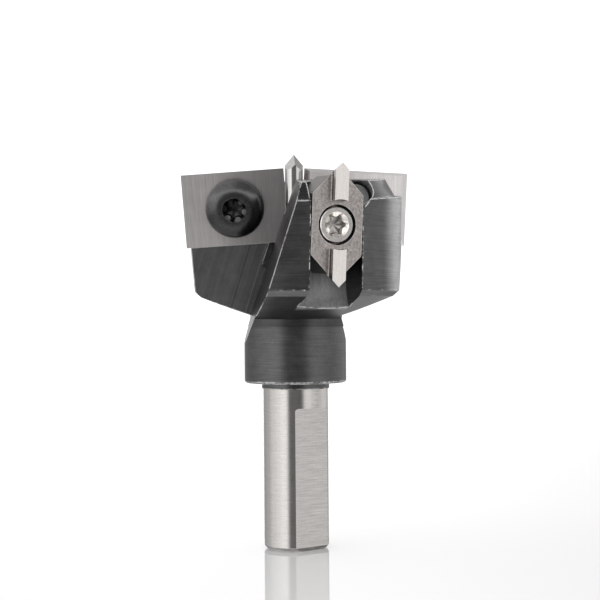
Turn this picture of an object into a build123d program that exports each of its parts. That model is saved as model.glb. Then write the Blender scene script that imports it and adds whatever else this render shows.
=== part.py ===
from build123d import *
from math import cos, radians, sin, sqrt, tan
import os

os.makedirs("parts", exist_ok=True)

# A hinge boring bit: a two-winged cutter head on a round shank, for the blind cup holes of
# cupboard hinges. Millimetres. The origin is the centre of the shank's end face and +Z is the
# boring axis. Seen along +Y, the left knife and the front spur face the viewer.

# Shank
shank_diameter = 10.0
shank_length = 25.5
shank_end_chamfer = 0.6
shank_end_crown = 1.2
flat_depth = 1.0
flat_length = 21.7
flat_end_width = 6.1
flat_corner = 0.6
flat_azimuth = -54.0

# Collar and neck
root_ring_diameter = 10.4
root_ring_length = 0.9
collar_diameter = 15.7
collar_length = 8.6
collar_edge = 0.25
neck_diameter = 16.6
neck_length = 1.2

# Head blank
wing_relief = 0.85
wing_corner = 0.85
cone_angle = 24.1
shelf_height = 54.2
crown_diameter = 27.8
crown_slope = 30.0
top_height = 56.8
back_slope = 6.2

# Flutes
floor_rake = 14.5
floor_recess = 0.6
wall_lean = 19.0
wall_skew = 5.5
wall_offset = 0.42

# Knives
cutting_diameter = 35.0
cutting_height = 57.5
knife_pin_gap = 0.17
knife_width = 11.4
knife_thickness = 2.0
knife_bevel = 25.0
knife_rake = 10.0
knife_tilt = 3.65
knife_clearance = 0.12
knife_hole = 5.4
groove_width = 0.7
groove_depth = 0.5
groove_length = 3.8

# Knife screws
knife_screw_diameter = 4.9
knife_screw_length = 6.0
knife_head_diameter = 9.05
knife_head_height = 2.75
knife_head_flat = 4.4
knife_head_rim = 0.6
thread_clearance = 0.05
tapped_mouth = 0.6

# Spurs
spur_azimuth = -67.3
spur_lean = 1.5
spur_outward = 2.5
spur_height = 48.95
spur_length = 18.0
spur_width = 8.0
spur_thickness = 5.4
spur_corner = 2.75
plate_length = 14.3
bar_width = 2.1
bar_height = 1.3
bar_foot = 0.3
bar_relief = 12.0
bar_gap_diameter = 7.3
slot_clearance = 0.12
slot_run_out_height = 41.5
slot_run_out_radius = 8.0

# Spur screws
spur_screw_diameter = 3.0
spur_screw_length = 9.0
spur_head_diameter = 5.3
spur_head_height = 2.1
spur_head_edge = 0.35
spur_hole = 3.3
spur_bore_diameter = 5.9
spur_bore_depth = 2.2

# Six-lobe recesses
knife_lobe_size = 3.9
spur_lobe_size = 2.8
lobe_waist = 0.72
lobe_hollow = 0.21
lobe_depth_share = 0.42

# Centre point
pin_diameter = 2.8
pin_clearance = 0.02
pin_tip_height = 60.6
pin_length = 15.0
pin_arris_angle = 39.6
pin_turn = 7.0

# Heights and radii that follow
shank_radius = shank_diameter / 2
collar_radius = collar_diameter / 2
neck_radius = neck_diameter / 2
wing_radius = cutting_diameter / 2 - wing_relief
collar_top = shank_length + collar_length
neck_top = collar_top + neck_length
corner_radius = wing_radius - wing_corner
corner_height = neck_top + (corner_radius - neck_radius) * tan(radians(cone_angle))
knife_length = (cutting_diameter - pin_diameter) / 2 - knife_pin_gap
spur_reach = cutting_diameter / 2
reach = cutting_diameter
above = top_height + wing_radius


def turned(plane, degrees):
    """The same plane, carried round the boring axis."""
    return Plane(Location((0, 0, 0), (0, 0, degrees)) * plane.location)


def moved_plane(plane, x, y, z=0):
    """A plane parallel to the given one, with its origin at these local coordinates."""
    return Plane(origin=plane.from_local_coords((x, y, z)), x_dir=plane.x_dir, z_dir=plane.z_dir)


# The knife's cutting corner, and its face with X along the cutting edge and Z out of the face
rake = radians(knife_rake)
tilt = radians(knife_tilt)
knife_normal = Vector(0, -cos(rake), -sin(rake))
edge_direction = Vector(cos(tilt), -sin(tilt) * sin(rake), sin(tilt) * cos(rake))
corner_plane = Plane(
    origin=(-cutting_diameter / 2, 0, cutting_height), x_dir=edge_direction, z_dir=knife_normal
)
knife_face = moved_plane(corner_plane, knife_length / 2, -knife_width / 2)
knife_back = moved_plane(knife_face, 0, 0, -knife_thickness)

# The flute's wall: it leans along the flute and stands a little askew to the radius
lean = tan(radians(wall_lean))
skew = radians(wall_skew)
floor_slope = tan(radians(floor_rake))
flute_direction = Vector(lean, -floor_slope, 1).normalized()
wall_normal = Vector(sin(skew), -cos(skew), 0).cross(flute_direction).normalized()
wall_plane = Plane(
    origin=(wall_offset, 0, cutting_height), x_dir=flute_direction, z_dir=wall_normal
)


def floor_y(height):
    """How far behind the boring axis the flute's floor lies at a height."""
    return floor_recess + (cutting_height - height) * floor_slope


# The spur's seat: X across the slot, Y up it, Z outwards
spur_face_reach = spur_reach - bar_height
spur_azimuth_plane = Plane.XY.rotated((0, 0, spur_azimuth))
spur_origin = spur_azimuth_plane.from_local_coords((spur_face_reach, 0, spur_height))
spur_upright = Plane(
    origin=spur_origin, x_dir=spur_azimuth_plane.y_dir, z_dir=spur_azimuth_plane.x_dir
)
spur_face = Plane(spur_upright.location * Location((0, 0, 0), (spur_outward, 0, -spur_lean)))
spur_seat = moved_plane(spur_face, 0, 0, -spur_thickness)

# The turned blank, its seam at the back where the flat doesn't reach
with BuildPart() as blank:
    with BuildSketch(Plane.YZ):
        with BuildLine():
            end_face = Line((0, 0), (shank_radius - shank_end_chamfer, 0))
            crown = RadiusArc(end_face @ 1, (shank_radius, shank_end_chamfer), -shank_end_crown)
            Polyline(
                crown @ 1,
                (shank_radius, shank_length - root_ring_length),
                (root_ring_diameter / 2, shank_length - root_ring_length),
                (root_ring_diameter / 2, shank_length),
                (collar_radius - collar_edge, shank_length),
                (collar_radius, shank_length + collar_edge),
                (collar_radius, collar_top),
                (neck_radius, collar_top),
                (neck_radius, neck_top),
                (corner_radius, corner_height),
                (wing_radius, corner_height + wing_corner),
                (wing_radius, top_height),
                (0, top_height),
                (0, 0),
            )
        make_face()
    revolve(axis=Axis.Z)

# The flute's tool: a flat floor and a flat wall, which run out through the neck and the collar
with BuildPart() as flute:
    with BuildSketch(Plane.YZ.offset(-reach)):
        with BuildLine():
            Polyline((floor_y(above), above), (floor_y(0), 0), (-reach, 0), (-reach, above), close=True)
        make_face()
    extrude(amount=2 * reach)
    split(bisect_by=wall_plane, keep=Keep.TOP)

# The knife's pocket, open outwards and upwards, with a grinding groove at its inner corner
with BuildPart() as pocket:
    with BuildSketch(knife_back):
        with Locations((knife_length / 2 + knife_clearance, -knife_width / 2 - knife_clearance)):
            Rectangle(reach, reach, align=(Align.MAX, Align.MIN))
    extrude(amount=knife_thickness + knife_clearance)

with BuildPart() as groove:
    pocket_foot = (knife_face.from_local_coords((0, -knife_width / 2, 0))).Z
    foot_y = floor_y(pocket_foot)
    foot_x = wall_plane.origin.X + (pocket_foot - wall_plane.origin.Z) * lean
    foot_x -= (foot_y + (pocket_foot - wall_plane.origin.Z) * floor_slope) * tan(skew)
    groove_plane = Plane(origin=(foot_x, foot_y, pocket_foot), x_dir=flute_direction, z_dir=wall_normal)
    with BuildSketch(groove_plane):
        with BuildLine():
            Polyline(
                (-groove_length, 0), (0, groove_depth), (groove_length, groove_depth),
                (groove_length, -groove_depth), (0, -groove_depth), close=True,
            )
        make_face()
    extrude(amount=groove_width)

# The knife screw's tapped hole, right through the wing and eased at its mouth
tapped_radius = knife_screw_diameter / 2 + thread_clearance
hole_side = abs(knife_face.origin.X) + tapped_radius
mouth_depth = sqrt(wing_radius**2 - hole_side**2) - tapped_mouth
with BuildPart() as tapped_hole:
    with BuildSketch(knife_face):
        Circle(tapped_radius)
    extrude(amount=-reach)
    with BuildSketch(moved_plane(knife_face, 0, 0, -mouth_depth)):
        Circle(tapped_radius)
    extrude(amount=-wing_radius / 2, taper=-45)

# The spur's slot: open at the top, with the spur's own lean, and curved outwards at its foot
slot_half = spur_width / 2 + slot_clearance
slot_drop = slot_run_out_height - spur_height
slot_foot = slot_drop - slot_run_out_radius
slot_side = Plane(origin=spur_seat.origin, x_dir=spur_seat.z_dir, z_dir=-spur_seat.x_dir)
with BuildPart() as slot:
    with BuildSketch(slot_side):
        with BuildLine():
            slot_floor = Line((0, reach), (0, slot_drop))
            slot_curve = RadiusArc(slot_floor @ 1, (slot_run_out_radius, slot_foot), -slot_run_out_radius)
            Polyline(slot_curve @ 1, (reach, slot_foot), (reach, reach), slot_floor @ 0)
        make_face()
    extrude(amount=slot_half, both=True)

with BuildPart() as spur_tapped_hole:
    with BuildSketch(spur_seat):
        Circle(spur_screw_diameter / 2 + thread_clearance)
    extrude(amount=-(spur_screw_length - spur_thickness + spur_bore_depth + thread_clearance))

# What the wing's back slope takes away above its shelf and its crown
slope = Location((0, 0, 0), (back_slope, 0, 0))
top_plane = Plane(Location((0, 0, top_height)) * slope)
shelf_plane = Plane(Location((0, 0, shelf_height)) * slope)
crown_radius = crown_diameter / 2
crown_spread = tan(radians(crown_slope))

with BuildPart() as shelf_cut:
    with BuildSketch(Plane.XZ):
        with BuildLine():
            low = shelf_height - wing_radius / 2
            Polyline(
                (crown_radius + (top_height - low) * crown_spread, low),
                (reach, low),
                (reach, top_height),
                (crown_radius, top_height),
                close=True,
            )
        make_face()
    revolve(axis=Axis.Z)
    split(bisect_by=Plane.XZ, keep=Keep.TOP)
    split(bisect_by=shelf_plane, keep=Keep.TOP)

with BuildPart() as top_cut:
    with BuildSketch(top_plane):
        with Locations((0, -reach / 2)):
            Rectangle(2 * reach, reach)
    extrude(amount=reach)

# The shank's flat, with its upper end square and its corners rounded
flat_frame = Plane.XY.rotated((0, 0, flat_azimuth))
flat_plane = Plane(
    origin=flat_frame.from_local_coords((shank_radius - flat_depth, 0, 0)),
    x_dir=flat_frame.y_dir, z_dir=flat_frame.x_dir,
)
with BuildPart() as flat:
    with BuildSketch(flat_plane):
        RectangleRounded(flat_end_width, 2 * flat_length, flat_corner)
    extrude(amount=shank_diameter)

# Body: one turned and milled piece of steel
with BuildPart() as body:
    add(blank.part)
    add(flat.part, mode=Mode.SUBTRACT)
    with PolarLocations(0, 2):
        add(flute.part, mode=Mode.SUBTRACT)
        add(shelf_cut.part, mode=Mode.SUBTRACT)
        add(top_cut.part, mode=Mode.SUBTRACT)
        add(slot.part, mode=Mode.SUBTRACT)
        add(pocket.part, mode=Mode.SUBTRACT)
        add(groove.part, mode=Mode.SUBTRACT)
        add(tapped_hole.part, mode=Mode.SUBTRACT)
        add(spur_tapped_hole.part, mode=Mode.SUBTRACT)
    with Locations((0, 0, pin_tip_height)):
        Cylinder(
            pin_diameter / 2 + pin_clearance, pin_length,
            align=(Align.CENTER, Align.CENTER, Align.MAX), mode=Mode.SUBTRACT,
        )
body.part.label = "body"
export_step(body.part, "parts/body.step")


def lobe_socket(plane, size):
    """A six-lobe socket, sunk below a plane."""
    with BuildPart() as socket:
        with BuildSketch(plane):
            Circle(size / 2)
            scallop = size * lobe_hollow
            with PolarLocations(size * lobe_waist / 2 + scallop, 6, start_angle=30):
                Circle(scallop, mode=Mode.SUBTRACT)
        extrude(amount=size * lobe_depth_share, dir=-plane.z_dir)
    return socket.part


# Knives: square-edged plates, bevelled back on all four sides, one pair turned half round
for side, turn in (("left", 0), ("right", 180)):
    with BuildPart() as knife:
        with BuildSketch(turned(knife_face, turn)):
            Rectangle(knife_length, knife_width)
        extrude(amount=-knife_thickness, taper=knife_bevel)
        with BuildSketch(turned(knife_face, turn)):
            Circle(knife_hole / 2)
        extrude(amount=-knife_thickness, mode=Mode.SUBTRACT)
    knife.part.label = "knife_" + side
    export_step(knife.part, f"parts/knife_{side}.step")

# Knife screws: domed heads with a six-lobe socket
for side, turn in (("left", 0), ("right", 180)):
    face = turned(knife_face, turn)
    section = Plane(origin=face.origin, x_dir=face.x_dir, z_dir=-face.y_dir)
    with BuildPart() as screw:
        with BuildSketch(section):
            with BuildLine():
                rim = (knife_head_diameter / 2, knife_head_rim)
                crest = (knife_head_flat / 2, knife_head_height)
                Polyline(
                    crest, (0, knife_head_height), (0, -knife_screw_length),
                    (knife_screw_diameter / 2, -knife_screw_length), (knife_screw_diameter / 2, 0),
                    (knife_head_diameter / 2, 0), rim,
                )
                RadiusArc(crest, rim, knife_head_diameter / 2)
            make_face()
        revolve(axis=Axis(face.origin, face.z_dir))
        head_top = moved_plane(face, 0, 0, knife_head_height)
        add(lobe_socket(head_top, knife_lobe_size), mode=Mode.SUBTRACT)
    screw.part.label = "knife_screw_" + side
    export_step(screw.part, f"parts/knife_screw_{side}.step")

# Spurs: blocks with a bar standing on their outer face, ground to a point at both ends
shoulder = spur_width / 2 - spur_corner
plate_half = plate_length / 2
bar_side = bar_width / 2
for side, turn in (("front", 0), ("back", 180)):
    face = turned(spur_face, turn)
    seat = turned(spur_seat, turn)
    with BuildPart() as bar:
        with BuildSketch(Plane(origin=face.origin, x_dir=face.x_dir, z_dir=-face.y_dir)):
            with BuildLine():
                Polyline((bar_side, bar_foot), (bar_side, bar_height), (0, bar_height))
                RadiusArc((bar_side, bar_foot), (bar_side + bar_foot, 0), -bar_foot)
                Line((bar_side + bar_foot, 0), (0, 0))
                mirror(about=Plane.YZ)
            make_face()
        extrude(amount=spur_length / 2, both=True)
        for across, along in ((1, 1), (-1, 1), (-1, -1), (1, -1)):
            apex = face.from_local_coords((0, along * spur_length / 2, bar_height))
            sideways = (face.x_dir * across + face.y_dir * along) / sqrt(2)
            ground = Plane(origin=apex, z_dir=sideways - face.z_dir * tan(radians(bar_relief)))
            split(bisect_by=ground, keep=Keep.BOTTOM)
    with BuildPart() as spur:
        with BuildSketch(seat):
            with BuildLine():
                quarter = Polyline(
                    (0, plate_half), (shoulder, plate_half),
                    (spur_width / 2, plate_half - spur_corner), (spur_width / 2, 0),
                )
                mirror(quarter, about=Plane.YZ)
                mirror(about=Plane.XZ)
            make_face()
        extrude(amount=spur_thickness)
        add(bar.part)
        with BuildSketch(face):
            Circle(bar_gap_diameter / 2)
        extrude(amount=bar_height, mode=Mode.SUBTRACT)
        with BuildSketch(face):
            Circle(spur_bore_diameter / 2)
        extrude(amount=-spur_bore_depth, mode=Mode.SUBTRACT)
        with BuildSketch(face):
            Circle(spur_hole / 2)
        extrude(amount=-spur_thickness, mode=Mode.SUBTRACT)
    spur.part.label = "spur_" + side
    export_step(spur.part, f"parts/spur_{side}.step")

# Spur screws: flat heads sunk in the spur's counterbore
for side, turn in (("front", 0), ("back", 180)):
    under_head = moved_plane(turned(spur_face, turn), 0, 0, -spur_bore_depth)
    with BuildPart() as screw:
        with BuildSketch(under_head):
            Circle(spur_head_diameter / 2)
        extrude(amount=spur_head_height)
        top_face = screw.faces().sort_by(Axis(under_head.origin, under_head.z_dir))[-1]
        chamfer(top_face.edges(), spur_head_edge)
        with BuildSketch(under_head):
            Circle(spur_screw_diameter / 2)
        extrude(amount=-spur_screw_length)
        head_top = moved_plane(under_head, 0, 0, spur_head_height)
        add(lobe_socket(head_top, spur_lobe_size), mode=Mode.SUBTRACT)
    screw.part.label = "spur_screw_" + side
    export_step(screw.part, f"parts/spur_screw_{side}.step")

# Centre point: a round pin ground to a four-sided point
facet_slope = tan(radians(pin_arris_angle)) / sqrt(2)
with BuildPart() as centre_point:
    with Locations((0, 0, pin_tip_height)):
        Cylinder(pin_diameter / 2, pin_length, align=(Align.CENTER, Align.CENTER, Align.MAX))
    for quarter_turn in range(4):
        azimuth = radians(45 + pin_turn + 90 * quarter_turn)
        facet = Vector(cos(azimuth), sin(azimuth), facet_slope)
        split(bisect_by=Plane(origin=(0, 0, pin_tip_height), z_dir=facet), keep=Keep.BOTTOM)
centre_point.part.label = "centre_point"
export_step(centre_point.part, "parts/centre_point.step")
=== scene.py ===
from math import cos, pi, radians, sin, tan

import bmesh
import bpy
from mathutils import Matrix, Vector


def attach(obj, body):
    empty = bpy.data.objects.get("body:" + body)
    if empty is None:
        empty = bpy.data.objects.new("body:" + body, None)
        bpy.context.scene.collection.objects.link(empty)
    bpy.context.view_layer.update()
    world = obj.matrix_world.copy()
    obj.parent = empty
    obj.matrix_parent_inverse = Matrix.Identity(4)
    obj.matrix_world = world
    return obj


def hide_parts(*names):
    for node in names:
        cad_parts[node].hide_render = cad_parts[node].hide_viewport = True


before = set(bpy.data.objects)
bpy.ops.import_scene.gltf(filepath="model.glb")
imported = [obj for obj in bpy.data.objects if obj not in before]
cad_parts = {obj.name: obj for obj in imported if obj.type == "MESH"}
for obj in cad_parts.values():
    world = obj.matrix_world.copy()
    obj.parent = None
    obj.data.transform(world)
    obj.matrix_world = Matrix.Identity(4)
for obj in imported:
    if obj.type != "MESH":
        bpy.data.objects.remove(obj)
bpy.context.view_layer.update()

# Body: one piece of tool steel, turned from bar and milled. Its head, collar and ring are blackened
# after machining and rubbed bright on their edges, and the shank is ground bright afterwards. Two flutes,
# two spur slots and two tapped holes are cut in it, each half a turn round from its like.
mm = 0.001
foot_chamfer = 0.6
ring_foot = 24.6
collar_foot = 25.5
collar_top = 34.1
neck_top = 35.3
corner_height = 38.65
crest_height = 52.0
wing_radius = 16.65
flat_turn = radians(-54.0)
flute_lean = radians(18.0)
flute_rake = radians(14.5)
score_foot = 43.0
slot_half_width = 4.12
slot_foot = 38.5
spur_turn = 22.7
spur_rake = 2.5
spur_lean = -1.5
spur_seat_radius = 16.2
spur_height = 48.95
knife_rake = 10.0
knife_tilt = 3.65
knife_seat = Vector((-9.188, 0.9, 52.397))
tapped_radius = 2.5
tapped_pitch = 0.8
blackened = (0.118, 0.118, 0.12, 1)
ground_bright = (0.54, 0.518, 0.5, 1)
rubbed_bright = (0.95, 0.94, 0.92, 1)


class Reading:
    """One value of a finish that varies over the surface, written into sums as a number is."""

    def __init__(self, finish, socket):
        self.finish, self.socket = finish, socket

    def __add__(self, other):
        return self.finish.maths("ADD", self, other)

    def __sub__(self, other):
        return self.finish.maths("SUBTRACT", self, other)

    def __rsub__(self, other):
        return self.finish.maths("SUBTRACT", other, self)

    def __mul__(self, other):
        return self.finish.maths("MULTIPLY", self, other)

    def __abs__(self):
        return self.finish.maths("ABSOLUTE", self)

    __radd__, __rmul__ = __add__, __mul__

    def part(self, name):
        """Another output of the same node."""
        return Reading(self.finish, self.socket.node.outputs[name])


class Finish:
    """What a surface or the studio's world looks like, built node by node."""

    def __init__(self, holder):
        self.holder = holder
        holder.use_nodes = True
        self.tree = holder.node_tree
        self.tree.nodes.clear()

    def node(self, kind, settings, *values, **named):
        """Makes a node. Its sockets take numbers, colours or readings, in their order or by name."""
        made = self.tree.nodes.new(kind)
        for setting, value in settings.items():
            setattr(made, setting, value)
        live = [socket for socket in made.inputs if socket.enabled]
        by_name = {socket.name: socket for socket in live}
        filled = list(zip(live, values))
        filled += [(by_name[name.replace("_", " ")], value) for name, value in named.items()]
        for socket, value in filled:
            if isinstance(value, Reading):
                self.tree.links.new(value.socket, socket)
            else:
                socket.default_value = value
        outputs = [socket for socket in made.outputs if socket.enabled]
        return Reading(self, outputs[0]) if outputs else None

    def maths(self, operation, *values):
        """A sum that the operators don't write."""
        return self.node("ShaderNodeMath", {"operation": operation}, *values)

    def axes(self, vector):
        """A vector's three readings."""
        parts = self.node("ShaderNodeSeparateXYZ", {}, vector)
        return [parts.part(axis) for axis in "XYZ"]

    def place(self):
        """Where the surface is, in millimetres."""
        metres = self.node("ShaderNodeTexCoord", {}).part("Object")
        return [reading * (1 / mm) for reading in self.axes(metres)]

    def facing(self):
        """Which way the surface looks."""
        return self.axes(self.node("ShaderNodeNewGeometry", {}).part("Normal"))

    def step(self, value, start, end):
        """0 on the start's side, 1 on the end's side, and a soft change between them."""
        return self.node("ShaderNodeMapRange", {"interpolation_type": "SMOOTHSTEP"}, value, start, end)

    def band(self, value, start, full, fading, gone):
        """1 from full to fading, and 0 up to the start and once gone."""
        return self.step(value, start, full) * self.step(value, gone, fading)

    def noise(self, place, scale, detail=2.0, roughness=0.5):
        """Cloudy noise, mostly between 0 and 1, at a place of three readings."""
        spot = self.node("ShaderNodeCombineXYZ", {}, *place)
        values = {"Vector": spot, "Scale": scale, "Detail": detail, "Roughness": roughness}
        return self.node("ShaderNodeTexNoise", {}, **values)

    def tone(self, level, colour):
        """A colour made darker or lighter."""
        return self.node("ShaderNodeVectorMath", {"operation": "SCALE"}, colour[:3], Scale=level)

    def blend(self, share, first, second):
        """The first colour where the share is 0, the second where it is 1."""
        return self.node("ShaderNodeMix", {"data_type": "RGBA"}, share, first, second)

    def open_air(self, reach, low, high, samples=8):
        """0 deep in the piece's own corners and hollows, 1 in the open."""
        settings = {"samples": samples, "only_local": True}
        air = self.node("ShaderNodeAmbientOcclusion", settings, Distance=reach * mm).part("AO")
        return self.step(air, low, high)

    def rubbed(self, radius, threshold):
        """1 on the piece's outward edges, 0 on its faces and in its inner corners."""
        rounded = self.node("ShaderNodeBevel", {"samples": 6}, radius * mm)
        flat = self.node("ShaderNodeNewGeometry", {}).part("Normal")
        alike = self.node("ShaderNodeVectorMath", {"operation": "DOT_PRODUCT"}, rounded, flat).part("Value")
        return self.step(1.0 - alike, threshold, 4 * threshold) * self.open_air(1.5, 0.72, 0.88, samples=6)

    def metal(self, colour, metallic, roughness, relief, depth):
        """Closes a metal's material. Its relief stands as high as the depth, in millimetres."""
        bump = self.node("ShaderNodeBump", {}, Strength=1.0, Distance=depth * mm, Height=relief)
        return self.done(Base_Color=colour, Metallic=metallic, Roughness=roughness, Normal=bump)

    def done(self, **sockets):
        """Closes a material with its shader and its output."""
        self.node("ShaderNodeOutputMaterial", {}, self.node("ShaderNodeBsdfPrincipled", {}, **sockets))
        return self.holder


def stand(turned, raked, tilted):
    """A face's frame, in degrees: its x runs across the face, its y up it and its z out of it."""
    upright = Matrix.Rotation(radians(turned), 4, "Z") @ Matrix.Rotation(radians(90 + raked), 4, "X")
    return upright @ Matrix.Rotation(radians(tilted), 4, "Z")


def dress(node, finish):
    """Gives a node of the frame its finish."""
    for material_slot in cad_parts[node].material_slots:
        material_slot.material = finish


# Which way the left knife and the front spur look, and the middle of the spur's face
knife_out = stand(0.0, knife_rake, knife_tilt).col[2].xyz
spur_stand = stand(spur_turn, spur_rake, spur_lean)
spur_across, spur_out = spur_stand.col[0].xyz, spur_stand.col[2].xyz
spur_face = Matrix.Rotation(radians(spur_turn), 3, "Z") @ Vector((0, -spur_seat_radius, spur_height))

black_steel = Finish(bpy.data.materials.new("black_steel"))
place = black_steel.place()
x, y, z = place
facing_x, facing_y, facing_z = black_steel.facing()
radius = black_steel.maths("SQRT", x * x + y * y)

# The flutes: cutter marks up the mill's path, with three scores in the floor. A side is 1 on one copy of a
# feature and -1 on the other, which it carries half a turn round, so that both look alike.
flute_side = black_steel.maths("SIGN", facing_y) * -1.0
flute_x, flute_y = x * flute_side - z * tan(flute_lean), y * flute_side + z * tan(flute_rake)
flute_floor = black_steel.step(abs(facing_y), 0.9, 0.94) * black_steel.step(facing_z, -0.2, -0.24)
flute_wall = black_steel.step(abs(facing_x), 0.93, 0.945) * black_steel.step(facing_z, 0.25, 0.29)
flute = flute_floor + flute_wall
# Painted reflection: the flute walls' run-outs above the neck are painted lighter
painted_run_out_reflection = flute_wall * black_steel.step(z, neck_top + 2.3, neck_top + 0.9)
bright_score = black_steel.step(abs(flute_x + 19.65), 0.16, 0.05) * 0.5
dark_score = black_steel.step(abs(flute_x + 22.13), 0.2, 0.05) * 0.35
wide_score = black_steel.step(abs(flute_x + 18.85), 0.34, 0.2) * 0.55
wide_score = wide_score * black_steel.step(z, score_foot, score_foot + 1.0)
milled = black_steel.noise((flute_x, flute_y, z * 0.02), 1.9, 5.0, 0.62)
milled = 0.2 + milled * 0.6 + (bright_score - dark_score - wide_score) * flute_floor
scratched = black_steel.noise((flute_x, flute_y, z * 0.04), 5.0, 2.0, 0.8)
scratches = black_steel.step(scratched, 0.66, 0.74) * flute

# The spur slots: straight marks up their floors, with painted shade darkening their upper parts under the
# spurs and painted light brightening them towards their foot
spur_side = black_steel.maths("SIGN", y) * -1.0
beside = (x * spur_across.x + y * spur_across.y) * spur_side + z * spur_across.z - spur_face @ spur_across
outward = (facing_x * spur_out.x + facing_y * spur_out.y) * spur_side
slot = black_steel.step(abs(beside), slot_half_width + 0.04, slot_half_width - 0.02)
slot = slot * black_steel.step(radius, wing_radius - 0.1, wing_radius - 0.25)
slot = slot * black_steel.step(z, neck_top + 1.2, neck_top + 1.7) * black_steel.step(outward, 0.2, 0.5)
slot_marks = black_steel.noise((x, y, z * 0.06), 3.0, 4.0, 0.65)
slot_painted_light = black_steel.step(z, slot_foot + 6.5, slot_foot)

# The tapped holes: threads round the knife screws' axes, their crests painted bright as a highlight
knife_side = black_steel.maths("SIGN", x) * -1.0
hole_x, hole_y = x * knife_side - knife_seat.x, y * knife_side - knife_seat.y
hole_z = z - knife_seat.z
along_hole = hole_y * knife_out.y + hole_z * knife_out.z
from_seat = hole_x * hole_x + hole_y * hole_y + hole_z * hole_z
off_axis = black_steel.maths("SQRT", from_seat - along_hole * along_hole)
tapped = black_steel.step(off_axis, tapped_radius + 0.12, tapped_radius + 0.06)
ridges = black_steel.maths("SINE", along_hole * (2 * pi / tapped_pitch)) * 0.5 + 0.5

# The turned faces: fine rings round the axis, which wander a little
turned = black_steel.noise((x * 0.03, y * 0.03, z), 5.5, 4.0, 0.7)
marks = turned * (1.0 - flute - slot) + milled * flute + slot_marks * slot

# The black: mottled, darker in the neck and thin beside the spurs, with painted shade on the crests' upper
# faces and the flute walls, and a painted reflection lightening the walls' run-outs
ground = black_steel.step(z, ring_foot + 0.02, ring_foot - 0.02)
neck = black_steel.band(z, collar_top - 0.02, collar_top + 0.04, neck_top - 0.04, neck_top + 0.02)
flank = black_steel.step(x * spur_side, 13.0, 16.2)
flank = flank * black_steel.step(radius, wing_radius - 0.25, wing_radius - 0.1)
# Painted shade: the crests' upward faces near the middle are painted darker
crest = black_steel.step(z, crest_height, crest_height + 1.0) * black_steel.step(abs(x), 11.0, 8.0)
crest = crest * black_steel.step(facing_z, 0.2, 0.5)
clouds = black_steel.noise(place, 0.45, 5.0, 0.6)
grit = black_steel.noise(place, 6.0, 4.0, 0.85)
specks = black_steel.step(black_steel.noise(place, 3.2, 3.0, 0.7), 0.66, 0.74)
black = (0.12 + marks * 1.1 + clouds * 0.6) * (0.55 + grit * 0.9)
black = black * (1.0 - neck * 0.34) * (1.0 + flank * 4.0 + painted_run_out_reflection * 0.5)
# Painted shade and light: the slots are darkened high up and lightened towards their foot
black = black * (1.0 + slot * (slot_painted_light * 3.6 - 0.85)) * (1.0 - tapped * 0.3)
# Painted highlight: the thread crests in the tapped holes are painted bright
black = black + tapped * ridges * 7.0 + scratches * 0.5 + specks * 0.35
# Painted shade: the crests' upward faces and the flute walls above their run-outs are painted darker
black = black * (1.0 - crest * 0.5 - flute_wall * (1.0 - painted_run_out_reflection) * 0.3)

# The ground shank: fine rings with a grain between them, and strokes across its flat
flat = black_steel.step(facing_x * cos(flat_turn) + facing_y * sin(flat_turn), 0.985, 0.995) * ground
foot = black_steel.step(z, foot_chamfer + 0.02, foot_chamfer - 0.1)
strokes = black_steel.noise((x * 0.03, y * 0.03, z), 8.0, 3.0, 0.8) - 0.56
fine_rings = black_steel.noise((x * 0.06, y * 0.06, z), 7.0, 4.0, 0.75)
grain = black_steel.noise(place, 3.5, 5.0, 0.8)
steel = 0.64 + fine_rings * 0.5 + grain * 0.4 + flat * strokes - foot * 0.7

# The edges that use has rubbed bright, in patches, and least round the neck and at the wings' lower corners
by_neck = black_steel.band(z, collar_top - 0.7, collar_top - 0.1, neck_top + 0.2, neck_top + 0.6)
corner = black_steel.band(z - corner_height, -1.05, -0.65, 0.75, 1.35)
below_collar = black_steel.step(z, collar_foot + 0.9, collar_foot + 0.5)
slot_lip = black_steel.step(abs(beside), slot_half_width + 0.68, slot_half_width + 0.38)
slot_lip = slot_lip * black_steel.step(radius, wing_radius - 0.75, wing_radius - 0.45)
patchy = black_steel.noise(place, 0.9, 4.0, 0.65)
patchy = patchy - by_neck * 0.4 - corner * 0.2 - below_collar * 0.08 - slot_lip * 0.13
worn = black_steel.rubbed(0.3, 0.012) * black_steel.step(patchy, 0.34, 0.48) * (1.0 - ground)

skin = black_steel.blend(ground, black_steel.tone(black, blackened), black_steel.tone(steel, ground_bright))
skin = black_steel.blend(worn, skin, rubbed_bright)
metallic = 1.0 - slot * 0.5 - tapped - worn * 0.7
roughness = 0.22 + clouds * 0.14 + marks * 0.06 - ground * 0.14 + slot * 0.2
relief = marks * (1.0 - ground * 0.85) + tapped * ridges * 12.0
dress("body", black_steel.metal(skin, metallic, roughness, relief, 0.01))

# Knives: pressed and sintered carbide plates, ground flat on both faces and bevelled on their four edges.
# The grinding leaves fine lines up the face, and the worn edge is bright. A screw holds each in its pocket.
grinding_lean = radians(3.71)
carbide_grey = (0.44, 0.42, 0.415, 1)
carbide_edge = (0.8, 0.79, 0.77, 1)
carbide = Finish(bpy.data.materials.new("ground_carbide"))
place = carbide.place()
x, y, z = place
lines = carbide.noise((abs(x) - z * tan(grinding_lean), z * 0.02, y * 0.02), 6.0, 4.0, 0.75)
film = carbide.noise(place, 0.35, 3.0, 0.5)
# Painted shade: the knives' upward-facing bevels are painted darker
painted_bevel_shade = carbide.step(carbide.facing()[2], 0.35, 0.45)
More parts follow.
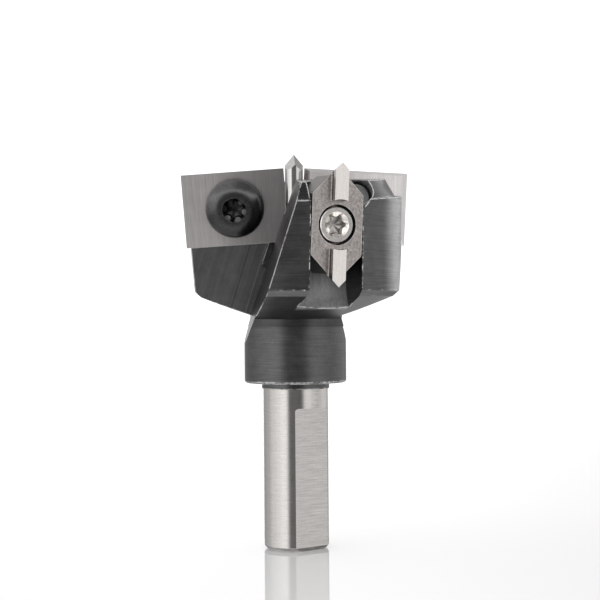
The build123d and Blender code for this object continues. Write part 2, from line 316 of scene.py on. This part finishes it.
# Painted shade: the knives are painted darker towards the middle, next to the body, and lighter at their
# outer ends
clear_of_painted_shade = carbide.step(abs(x), 4.0, 15.0)
level = (0.5 + lines * 0.7 + film * 0.3) * (1.0 - painted_bevel_shade * 0.25) * (0.9 + clear_of_painted_shade * 0.66)
skin = carbide.blend(carbide.rubbed(0.16, 0.02) * 0.35, carbide.tone(level, carbide_grey), carbide_edge)
knife_finish = carbide.metal(skin, 1.0, 0.3 + lines * 0.15, lines, 0.008)
for side in ("left", "right"):
    dress("knife_" + side, knife_finish)

# Knife screws: button heads of hardened steel, cold formed and blackened, with a six-lobe socket pressed in
# a round countersink. The shank is threaded into the wing, and its end shows in the tapped hole's mouth.
screw_black = (0.098, 0.098, 0.1, 1)
screw_edge = (0.5, 0.49, 0.47, 1)
knife_screw_roll = 17.19
knife_screw_length = 6.0
knife_screw_core = 2.1
knife_screw_crest = 2.45
button_radius = 4.525
button_flat = 2.2
button_rim = 0.6
button_height = 2.75
ring_points = 96
crease_angle = radians(28)
half_turn = Matrix.Rotation(pi, 4, "Z")


def six_lobes(angle, depth):
    """How far a socket's outline is drawn in at an angle, where its lobe tips are 1."""
    return 1.0 - depth * (0.5 - 0.5 * cos(6 * angle)) ** 0.8


def screw(name, rings, seated, finish):
    """A screw in its place. Each ring is a radius, a height over its seat and how deep its lobes are."""
    mesh = bmesh.new()
    radius, height, depth = rings[0]
    bmesh.ops.create_circle(mesh, cap_ends=True, segments=ring_points, radius=radius * mm)
    bmesh.ops.translate(mesh, verts=mesh.verts, vec=(0, 0, height * mm))
    rim = list(mesh.edges)
    for radius, height, depth in rings[1:]:
        made = bmesh.ops.extrude_edge_only(mesh, edges=rim)["geom"]
        rim = [item for item in made if isinstance(item, bmesh.types.BMEdge) and item.is_boundary]
        for spot in {spot for edge in rim for spot in edge.verts}:
            angle = Vector(spot.co.xy).angle_signed(Vector((1, 0)), 0.0)
            reach = radius * mm * six_lobes(angle, depth)
            spot.co = (reach * cos(angle), reach * sin(angle), height * mm)
    bmesh.ops.contextual_create(mesh, geom=rim)
    bmesh.ops.transform(mesh, matrix=seated, verts=mesh.verts)
    bmesh.ops.recalc_face_normals(mesh, faces=mesh.faces)
    piece = bpy.data.objects.new(name, bpy.data.meshes.new(name))
    mesh.to_mesh(piece.data)
    mesh.free()
    piece.data.shade_smooth()
    piece.data.set_sharp_from_angle(angle=crease_angle)
    piece.data.materials.append(finish)
    bpy.context.collection.objects.link(piece)
    return piece


def threads(core, crest, top, end, pitch):
    """The rings of a thread, from its top down to its end."""
    rings = []
    while top - pitch > end:
        rings += [(crest, top, 0), (core, top - pitch * 0.45, 0)]
        rings += [(core, top - pitch * 0.55, 0), (crest, top - pitch * 0.95, 0)]
        top -= pitch
    return rings


black_screw = Finish(bpy.data.materials.new("black_screw"))
place = black_screw.place()
grain = black_screw.noise(place, 2.5, 5.0, 0.65)
shine = black_screw.rubbed(0.14, 0.02) * black_screw.step(black_screw.noise(place, 1.1, 3.0), 0.42, 0.6)
# Painted shade: the head is darkened in its socket and hollows, and its downward faces are painted darker
# than its upper ones
painted_upper_light = black_screw.step(black_screw.facing()[2], -0.7, 0.3)
level = (0.5 + grain) * (0.12 + black_screw.open_air(2.0, 0.35, 0.9)) * (0.4 + painted_upper_light * 0.75)
skin = black_screw.blend(shine, black_screw.tone(level, screw_black), screw_edge)
screw_finish = black_screw.metal(skin, 1.0, 0.22 + grain * 0.16, grain, 0.004)

socket = [(0.1, 0.85, 0), (0.62, 0.95, 0.1), (1.42, 1.15, 0.29), (1.5, 2.15, 0.29), (1.58, 2.3, 0.28)]
countersink = [(1.8, 2.66, 0), (1.86, 2.74, 0)]
dome = [(button_flat, button_height, 0)]
for angle in range(10, 91, 10):
    out = button_flat + (button_radius - button_flat) * sin(radians(angle))
    dome.append((out, button_rim + (button_height - button_rim) * cos(radians(angle)), 0))
underside = [(button_radius, 0.15, 0), (button_radius - 0.105, 0.0, 0), (2.5, 0.0, 0), (2.3, -0.3, 0)]
shank = threads(knife_screw_core, knife_screw_crest, -0.4, 0.4 - knife_screw_length, tapped_pitch)
shank += [(2.4, 0.5 - knife_screw_length, 0), (2.0, -knife_screw_length, 0), (0.9, -knife_screw_length, 0)]
rings = socket + countersink + dome + underside + shank
seat = Matrix.Translation(knife_seat * mm)
seated = seat @ stand(0.0, knife_rake, knife_tilt + knife_screw_roll)
for side, carried in (("left", Matrix.Identity(4)), ("right", half_turn)):
    head = screw("knife_screw_head_" + side, rings, carried @ seated, screw_finish)
    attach(head, "root")
    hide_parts("knife_screw_" + side)

# Spurs: scoring plates pressed and sintered from hard metal powder, pointed at both ends so that they can be
# turned round. A plate keeps the mottled skin of its sintering, its raised bar is ground bright, and a screw
# clamps it in its slot.
spur_grey = (0.365, 0.333, 0.32, 1)
spur_bar = (0.73, 0.695, 0.665, 1)
spur_edge = (0.8, 0.79, 0.77, 1)
sintered = Finish(bpy.data.materials.new("sintered"))
place = sintered.place()
x, y, z = place
facing_x, facing_y, facing_z = sintered.facing()
raised = abs(x * spur_out.x + y * spur_out.y) + z * spur_out.z - spur_face @ spur_out
bar = sintered.step(raised, 0.45, 0.85)
# Painted shade: the plate's faces turned aside from the front are painted darker
painted_side_shade = sintered.step(abs(facing_x * spur_out.x + facing_y * spur_out.y), 0.6, 0.3) * (1.0 - bar)
mottle = sintered.noise(place, 2.6, 6.0, 0.8)
drawn = sintered.noise((x, y, z * 0.08), 4.0, 3.0, 0.6)
plate = sintered.tone((-0.45 + mottle * 2.7 + drawn * 0.3) * (1.0 - painted_side_shade * 0.65), spur_grey)
skin = sintered.blend(bar, plate, sintered.tone(0.85 + drawn * 0.3, spur_bar))
skin = sintered.blend(sintered.rubbed(0.16, 0.02) * 0.8, skin, spur_edge)
spur_finish = sintered.metal(skin, 1.0, 0.5 - bar * 0.16 - mottle * 0.15, mottle + drawn * 0.6, 0.02)
for side in ("front", "back"):
    dress("spur_" + side, spur_finish)

# Spur screws: cheese heads of bright steel, turned and left uncoated, with a chamfered rim and a six-lobe
# socket. Each sits in a counterbore in its spur's bar and is threaded into the floor of the slot.
bare_steel = (0.52, 0.495, 0.475, 1)
bare_edge = (0.86, 0.85, 0.83, 1)
spur_screw_roll = 3.44
spur_screw_length = 9.0
spur_screw_core = 1.25
spur_screw_crest = 1.5
spur_screw_pitch = 0.5
spur_bore_depth = 2.2
bright = Finish(bpy.data.materials.new("bright"))
facing_x, facing_y, facing_z = bright.facing()
rub = bright.noise(bright.place(), 3.0, 5.0, 0.65)
outward = abs(facing_x * spur_out.x + facing_y * spur_out.y) + facing_z * spur_out.z
# Painted shade: the socket is darkened in its hollows, and the faces looking straight out are painted darker
# than those turned aside
flat = bright.step(outward, 0.85, 0.97)
level = (0.35 + rub) * (0.55 + bright.open_air(1.6, 0.2, 0.8)) * (1.3 - flat * 0.75)
skin = bright.blend(bright.rubbed(0.12, 0.02) * 0.9, bright.tone(level, bare_steel), bare_edge)
screw_finish = bright.metal(skin, 1.0, 0.16 + rub * 0.14, rub, 0.01)

socket = [(0.1, 0.5, 0), (0.6, 0.6, 0.1), (1.48, 0.8, 0.3), (1.56, 1.6, 0.3), (1.64, 1.72, 0.29)]
countersink = [(1.84, 2.04, 0), (1.9, 2.1, 0)]
rim = [(2.48, 2.1, 0), (2.61, 1.98, 0), (2.65, 1.86, 0), (2.65, 0.12, 0), (2.55, 0.0, 0)]
underside = [(1.55, 0.0, 0), (1.4, -0.3, 0)]
shank = threads(spur_screw_core, spur_screw_crest, -0.4, 0.4 - spur_screw_length, spur_screw_pitch)
shank += [(1.45, 0.4 - spur_screw_length, 0), (1.15, -spur_screw_length, 0), (0.5, -spur_screw_length, 0)]
rings = socket + countersink + rim + underside + shank
seat = Matrix.Translation((spur_face - spur_bore_depth * spur_out) * mm)
seated = seat @ stand(spur_turn, spur_rake, spur_lean + spur_screw_roll)
for side, carried in (("front", Matrix.Identity(4)), ("back", half_turn)):
    head = screw("spur_screw_head_" + side, rings, carried @ seated, screw_finish)
    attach(head, "root")
    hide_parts("spur_screw_" + side)

# Centre point: a round pin of hardened steel whose tip is ground to four flat sides. It is polished, with
# faint rings from the grinding, and is pressed into the middle of the head between the knives.
pin_steel = (0.6, 0.585, 0.57, 1)
polished = Finish(bpy.data.materials.new("polished"))
place = polished.place()
x, y, z = place
fine = polished.noise((x * 0.1, y * 0.1, z), 9.0, 3.0, 0.7)
dull = polished.noise(place, 1.5, 4.0, 0.6)
skin = polished.tone(0.7 + fine * 0.4 + dull * 0.3, pin_steel)
dress("centre_point", polished.metal(skin, 1.0, 0.06 + fine * 0.08, fine, 0.003))

# The studio: a glossy white table in a white room, with a wide soft light on each side of the camera and the
# room dark behind it. The camera stands level with the wings' lower corners. The table doesn't show in the
# bit's own mirror images, as the photograph's doesn't.
table_half_width = 3.0
table_drop = 0.02
white = (1, 1, 1, 1)
table_white = (0.9, 0.9, 0.9, 1)
photo_width_pixels = 600
focal_length_pixels = 1490
film_width = 36.0
camera_place = Vector((0.79, -230.0, 38.14))
camera_roll = -0.45

sheet = bmesh.new()
bmesh.ops.create_grid(sheet, x_segments=1, y_segments=1, size=table_half_width)
bmesh.ops.translate(sheet, verts=sheet.verts, vec=(0, 0, -table_drop * mm))
table = bpy.data.objects.new("floor", bpy.data.meshes.new("floor"))
sheet.to_mesh(table.data)
sheet.free()
bpy.context.collection.objects.link(table)
table.visible_glossy = False
table_top = Finish(bpy.data.materials.new("table_top"))
gloss = {"Roughness": 0.03, "Specular_IOR_Level": 1.0}
glow = {"Emission_Color": white, "Emission_Strength": 0.05}
table.data.materials.append(table_top.done(Base_Color=table_white, **gloss, **glow))

# The room's light. By degrees round from the camera's side: dark, the soft lights, then fading to the back
# and bright once more behind the bit. It has its own levels overhead and beneath.
world = bpy.data.worlds.new("studio")
bpy.context.scene.world = world
room = Finish(world)
x, y, z = room.axes(room.node("ShaderNodeTexCoord", {}).part("Generated"))
angle = room.maths("ARCTAN2", abs(x), y * -1.0) * (180 / pi)
light = 0.15
for start, end, change in (
    (20, 36, 1.0), (48, 64, -0.15), (64, 87, -0.17), (87, 115, -0.31), (115, 150, -0.15), (156, 168, 0.75),
):
    light = light + room.step(angle, start, end) * change
right = room.step(x, 0.0, 0.3)
light = light * (1.18 - right * 0.26) + right * room.band(angle, 92, 112, 140, 156) * 0.4
overhead = room.step(z, 0.16, 0.34)
ceiling = 1.5 - room.step(z, 0.45, 0.6) * (0.65 + room.step(x, -0.2, 0.2) * 0.5)
light = light * (1.0 - overhead) + ceiling * overhead
beneath = room.step(z, -0.2, -0.36)
floor_light = 0.42 + room.step(z, -0.36, -0.5) * 0.25 + room.step(z, -0.5, -0.7) * 0.5
light = light * (1.0 - beneath) + floor_light * beneath
light = room.maths("MAXIMUM", room.node("ShaderNodeLightPath", {}).part("Is Camera Ray"), light)
room.node("ShaderNodeOutputWorld", {}, room.node("ShaderNodeBackground", {}, white, light))

lens = bpy.data.cameras.new("camera")
lens.sensor_width = film_width
lens.lens = focal_length_pixels / photo_width_pixels * film_width
camera = bpy.data.objects.new("camera", lens)
bpy.context.collection.objects.link(camera)
camera.location = camera_place * mm
camera.rotation_euler = stand(0.0, 0.0, camera_roll).to_euler()
bpy.context.scene.camera = camera
bpy.context.scene.view_settings.view_transform = "Standard"
